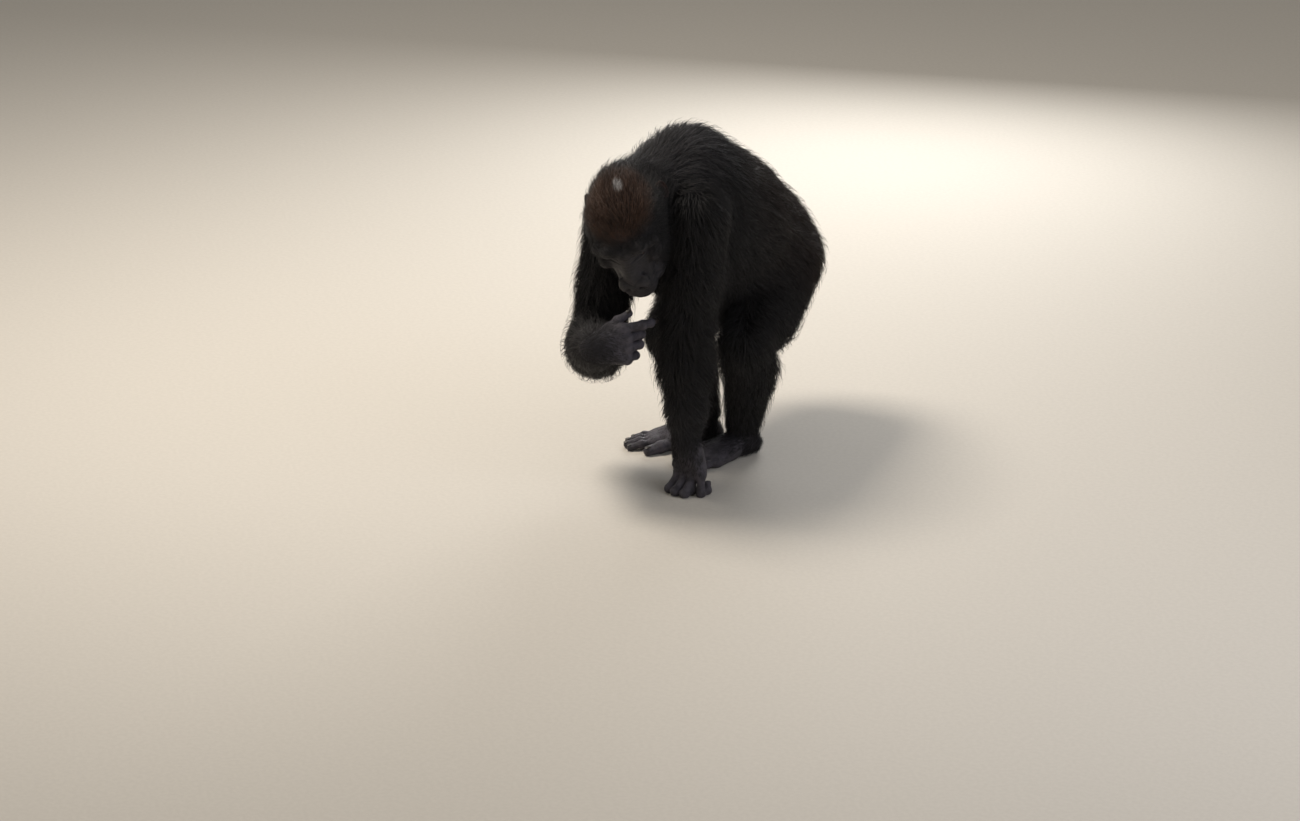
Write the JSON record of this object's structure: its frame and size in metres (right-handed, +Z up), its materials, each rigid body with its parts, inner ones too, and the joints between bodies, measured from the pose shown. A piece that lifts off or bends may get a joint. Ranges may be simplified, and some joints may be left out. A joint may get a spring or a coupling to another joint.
{
  "type": "gorilla",
  "caption": "Gorilla at life size, standing on its feet and the knuckles of one hand, head bowed, the other hand raised below its chin.",
  "frame": {"origin": "bottom centre of the bounding box, on the floor the animal stands on", "axes": "+Z up; the animal faces -Y; +X is to its own left"},
  "size_m": [0.4636, 0.9176, 0.8863],
  "materials": {
    "coat": "coarse black hair",
    "crown_coat": "short brown hair",
    "bare_skin": "satin wrinkled hide",
    "eye": "wet gloss"
  },
  "bodies": {
    "root": {"shoulders": "coat", "chest": "coat", "belly": "coat", "pelvis": "coat", "upper_arm_left": "coat", "forearm_left": "coat", "upper_arm_right": "coat", "forearm_right": "coat", "thigh_left": "coat", "shin_left": "coat", "thigh_right": "coat", "shin_right": "coat", "cranium": "crown_coat", "face": "bare_skin", "lower_jaw": "bare_skin", "eye_right": "eye", "ear_right": "bare_skin", "eye_left": "eye", "ear_left": "bare_skin", "hand_left": "bare_skin", "thumb_left": "bare_skin", "index_left": "bare_skin", "middle_left": "bare_skin", "ring_left": "bare_skin", "little_left": "bare_skin", "foot_left": "bare_skin", "big_toe_left": "bare_skin", "second_toe_left": "bare_skin", "third_toe_left": "bare_skin", "fourth_toe_left": "bare_skin", "fifth_toe_left": "bare_skin", "hand_right": "bare_skin", "thumb_right": "bare_skin", "index_right": "bare_skin", "middle_right": "bare_skin", "ring_right": "bare_skin", "little_right": "bare_skin", "foot_right": "bare_skin", "big_toe_right": "bare_skin", "second_toe_right": "bare_skin", "third_toe_right": "bare_skin", "fourth_toe_right": "bare_skin", "fifth_toe_right": "bare_skin"}
  },
  "joints": []
}
